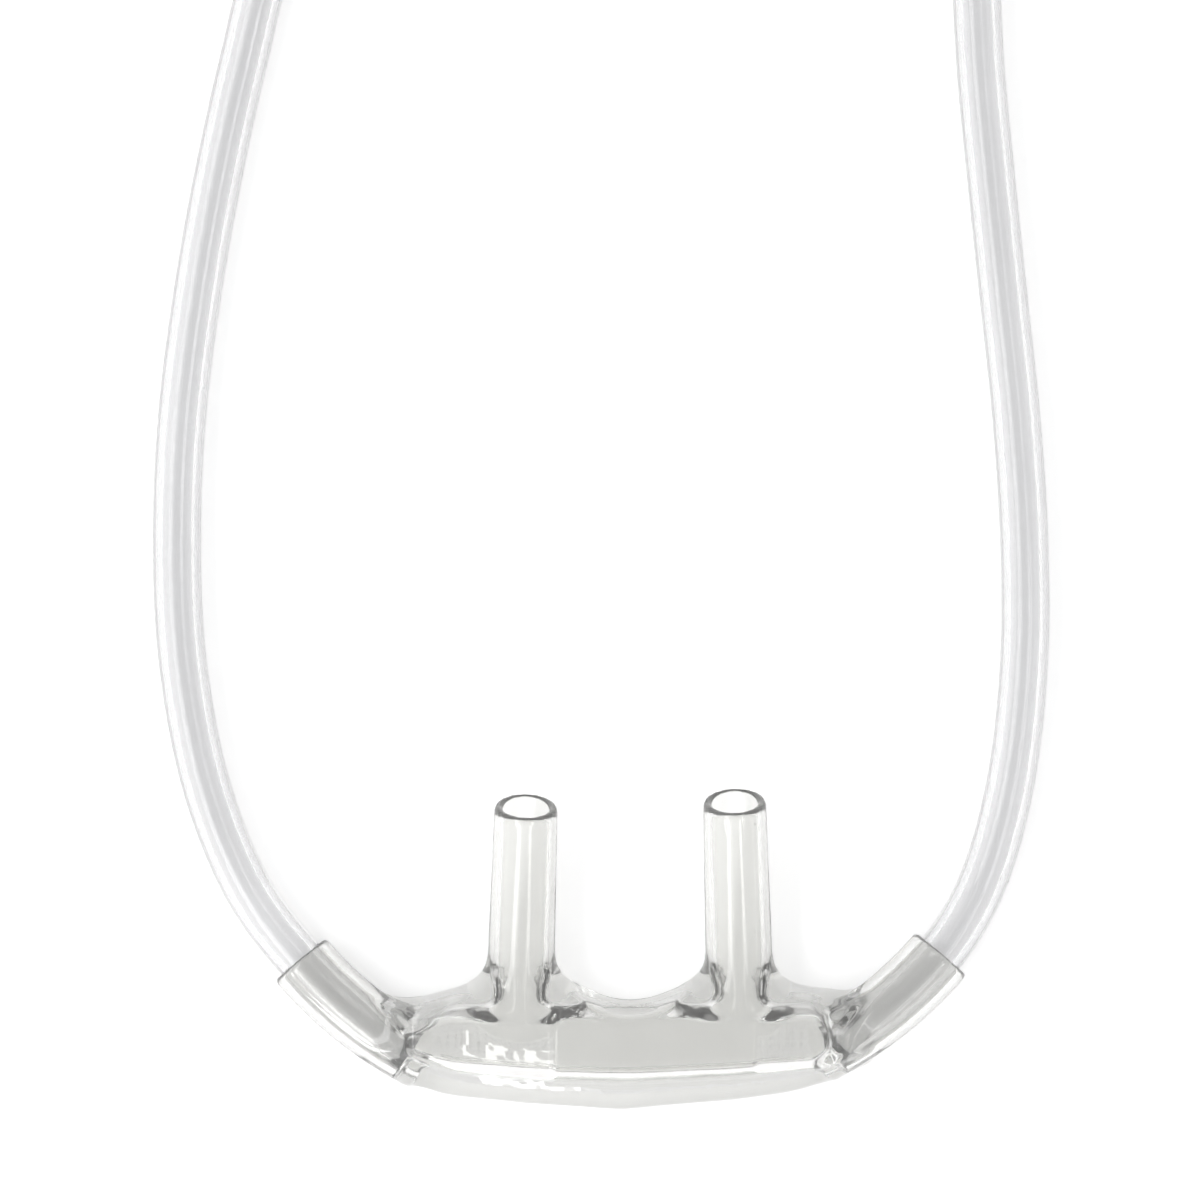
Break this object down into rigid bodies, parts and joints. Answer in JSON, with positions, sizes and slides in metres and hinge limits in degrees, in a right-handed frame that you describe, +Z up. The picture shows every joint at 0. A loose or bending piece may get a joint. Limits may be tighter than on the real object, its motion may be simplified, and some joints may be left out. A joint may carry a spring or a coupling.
{
  "type": "nasal oxygen cannula",
  "caption": "Soft clear facepiece with curved nasal prongs on looped headset tubes, with a slider, a Y connector and a coiled supply tube ending in a funnel connector.",
  "frame": {"origin": "middle of the facepiece's footprint, on the surface that the set lies on", "axes": "+X to the right along the facepiece, +Y the way the prongs point, +Z up from the surface"},
  "size_m": [0.0749, 0.2357, 0.0216],
  "materials": {
    "soft_moulding": "clear soft PVC moulding, slightly hazy, glossy",
    "headset_tubing": "clear extruded PVC tubing, smooth",
    "supply_tubing": "clear extruded PVC tubing, smooth",
    "clear_fitting": "clear moulded fitting, a little firmer and cooler in tone",
    "tie_strap": "thin white strap"
  },
  "bodies": {
    "cannula": {"facepiece": "soft_moulding", "headset_tube_left": "headset_tubing", "headset_tube_right": "headset_tubing", "headset_coil": "headset_tubing", "headset_tail_left": "headset_tubing", "headset_tail_right": "headset_tubing", "headset_tie": "tie_strap", "y_connector": "clear_fitting", "supply_lead": "supply_tubing", "supply_coil": "supply_tubing", "supply_tail": "supply_tubing", "supply_tie": "tie_strap", "end_connector": "clear_fitting"},
    "slider": {"slider": "clear_fitting"}
  },
  "joints": [
    {"name": "slider_slide", "type": "slide", "parent": "cannula", "child": "slider", "axis": [0, 1, 0], "range_m": [0, 0.01]}
  ]
}
